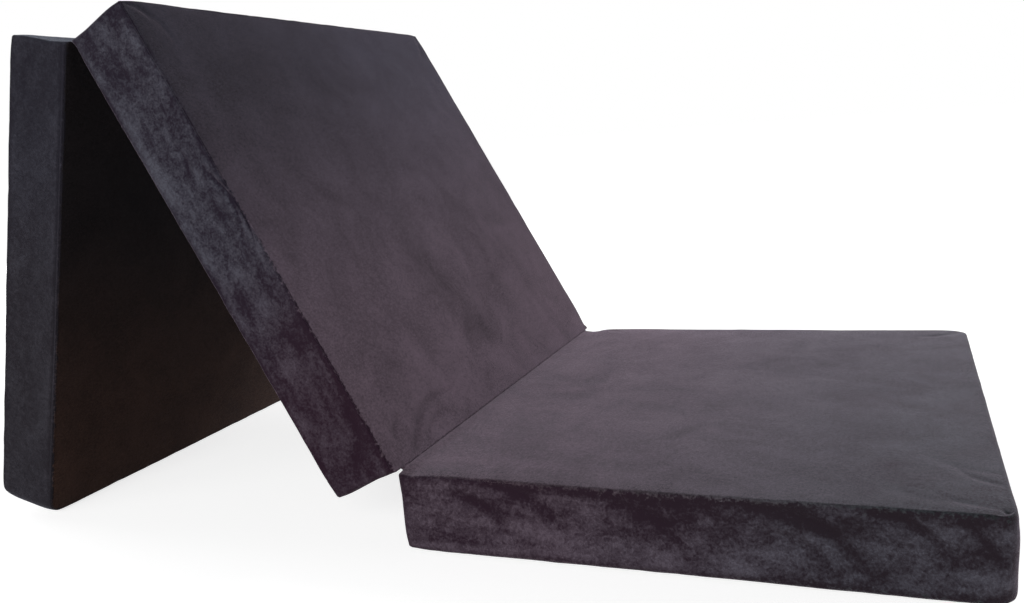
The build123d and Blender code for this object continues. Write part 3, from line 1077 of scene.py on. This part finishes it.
def dress_section(section):
    """The cover of a section: its two panels, its side band and the two bands beside its zip."""
    name = section.name
    fabric = VELOURS[name]
    for level in ("top", "base"):
        node = f"{name}_{level}_panel"
        grid = panel_grid(section, level)
        panel_fabric = VELOURS.get(f"{name}_{level}", fabric)
        cover_piece(section, node, grid, panel_fabric, flip=level == "base")
    band = band_grid(section, *outline(section))
    cover_piece(section, f"{name}_side_band", band, fabric)

    steps = int(round((ZIP_END - ZIP_START) / BAND_STEP))
    along = np.linspace(ZIP_START, ZIP_END, steps + 1)
    places = np.stack([along, np.full(steps + 1, HALF_WIDTH)], -1)
    facing = np.tile([0.0, 1.0], (steps + 1, 1))
    upper = band_grid(section, places, facing, base_hem=HEIGHT / 2 + SLOT_HALF)
    lower = band_grid(section, places, facing, top_hem=HEIGHT / 2 - SLOT_HALF)
    cover_piece(section, f"{name}_zip_band_upper", upper, fabric)
    cover_piece(section, f"{name}_zip_band_lower", lower, fabric)


SLACK = {section.name: side_slack(section) for section in SECTIONS}
for section in SECTIONS:
    dress_section(section)
    foam_block(section)

foot, middle, head = SECTIONS
near_nodes = ("foot_fold_web", "middle_foot_fold_web")
far_nodes = ("middle_head_fold_web", "head_fold_web")
fold_strip("near_fold_strip", "top", foot, middle, near_nodes, VELOURS["foot"])
fold_strip("far_fold_strip", "base", middle, head, far_nodes, VELOURS["middle"])

ZIP_FINISHES = {
    "zip_tape": TAPE,
    "zip_teeth": TEETH,
    "zip_end_stops": TEETH,
    "zip_slider": ENAMEL,
    "zip_pull": ENAMEL,
}
for node, piece in frame["nodes"].items():
    for kind, finish in ZIP_FINISHES.items():
        if kind in node:
            piece.data.materials.clear()
            piece.data.materials.append(finish)


# Floor, light and camera


def shown_to(tree):
    """1 for the rays that see the white studio: seen, mirrored and refracted ones."""
    path = add_node(tree, "ShaderNodeLightPath").outputs
    seen = math_node(tree, "MAXIMUM", path["Is Camera Ray"], path["Is Glossy Ray"])
    return math_node(tree, "MAXIMUM", seen, path["Is Transmission Ray"])


def mixed_shader(tree, share, first, second):
    inputs = (share, first.outputs[0], second.outputs[0])
    return add_node(tree, "ShaderNodeMixShader", inputs).outputs[0]


def floor_material():
    """Floor seen white but for a soft shadow, throwing dim and warm light on the mattress."""
    material, tree, surface, place = new_material("floor")
    surface.inputs["Base Color"].default_value = (0.34, 0.20, 0.14, 1)
    surface.inputs["Roughness"].default_value = 0.9
    pale = add_node(tree, "ShaderNodeBsdfDiffuse", {"Color": (0.55, 0.55, 0.55, 1)})
    distance = add_node(tree, "ShaderNodeVectorMath", (place,), operation="LENGTH")
    level = ramp_node(tree, distance.outputs["Value"], 1.2, 3.5, 0.70, 1.0)
    glow = add_node(tree, "ShaderNodeEmission", ((1, 1, 1, 1), level))
    bright = add_node(tree, "ShaderNodeAddShader", (pale.outputs[0], glow.outputs[0]))
    output = next(node for node in tree.nodes if node.type == "OUTPUT_MATERIAL")
    tree.links.new(mixed_shader(tree, shown_to(tree), surface, bright), output.inputs[0])
    return material


def add_floor():
    size = 30.0
    corners = [(-size, -size, 0), (size, -size, 0), (size, size, 0), (-size, size, 0)]
    mesh = smooth_mesh("floor", np.array(corners), [(0, 1, 2, 3)])
    just_below = Matrix.Translation((0, 0, -0.0005))
    floor = add_piece("floor", mesh, floor_material(), just_below)


def add_world():
    world = bpy.data.worlds.new("studio")
    bpy.context.scene.world = world
    world.use_nodes = True
    tree = world.node_tree
    tree.nodes.clear()
    fill = add_node(tree, "ShaderNodeBackground", ((0.93, 0.95, 1.0, 1), 0.015))
    white = add_node(tree, "ShaderNodeBackground", ((1, 1, 1, 1), 1.0))
    output = add_node(tree, "ShaderNodeOutputWorld")
    tree.links.new(mixed_shader(tree, shown_to(tree), fill, white), output.inputs[0])


# Softboxes: place, the point that they face, width and height, and power in watts
SOFTBOXES = {
    "right_back_softbox": ((2.6, 2.6, 1.6), (0, 0, 0.3), (2.0, 2.0), 134),
    "right_softbox": ((4.0, 0.0, 1.2), (0, 0, 0.3), (2.0, 1.6), 23),
    "front_softbox": ((0.3, -4.0, 1.6), (0, 0, 0.3), (3.0, 2.0), 154),
    "left_front_softbox": ((-2.6, -3.2, 1.6), (0, 0, 0.3), (2.0, 2.0), 25),
    "left_back_softbox": ((-3.8, 0.9, 1.5), (-0.3, 0, 0.3), (2.4, 2.0), 100),
}


def add_lamp(name, place, target, size, power):
    lamp = bpy.data.lights.new(name, "AREA")
    lamp.shape = "RECTANGLE"
    lamp.size, lamp.size_y = size
    lamp.energy = power
    holder = add_object(name, lamp)
    holder.location = place
    direction = Vector(target) - Vector(place)
    holder.rotation_mode = "QUATERNION"
    holder.rotation_quaternion = direction.to_track_quat("-Z", "Y")


# The camera: lens in mm, yaw, pitch and roll in degrees, and place from below the near fold's axis
LENS = 34.10
CAMERA_ANGLES = (22.11, -10.26, -4.55)
CAMERA_PLACE = (0.56, -1.367, 0.497)


def add_camera():
    camera = bpy.data.cameras.new("camera")
    camera.lens = LENS
    holder = add_object("camera", camera)
    bpy.context.scene.camera = holder
    yaw, pitch, roll = (radians(angle) for angle in CAMERA_ANGLES)
    turn = Matrix.Rotation(yaw, 4, "Z") @ Matrix.Rotation(pi / 2 + pitch, 4, "X")
    place = Vector((FOLD_1.x, 0, 0)) + Vector(CAMERA_PLACE)
    holder.matrix_world = Matrix.Translation(place) @ (turn @ Matrix.Rotation(roll, 4, "Z"))


add_floor()
add_world()
for name, settings in SOFTBOXES.items():
    add_lamp(name, *settings)
add_camera()
bpy.context.scene.view_settings.view_transform = "Standard"
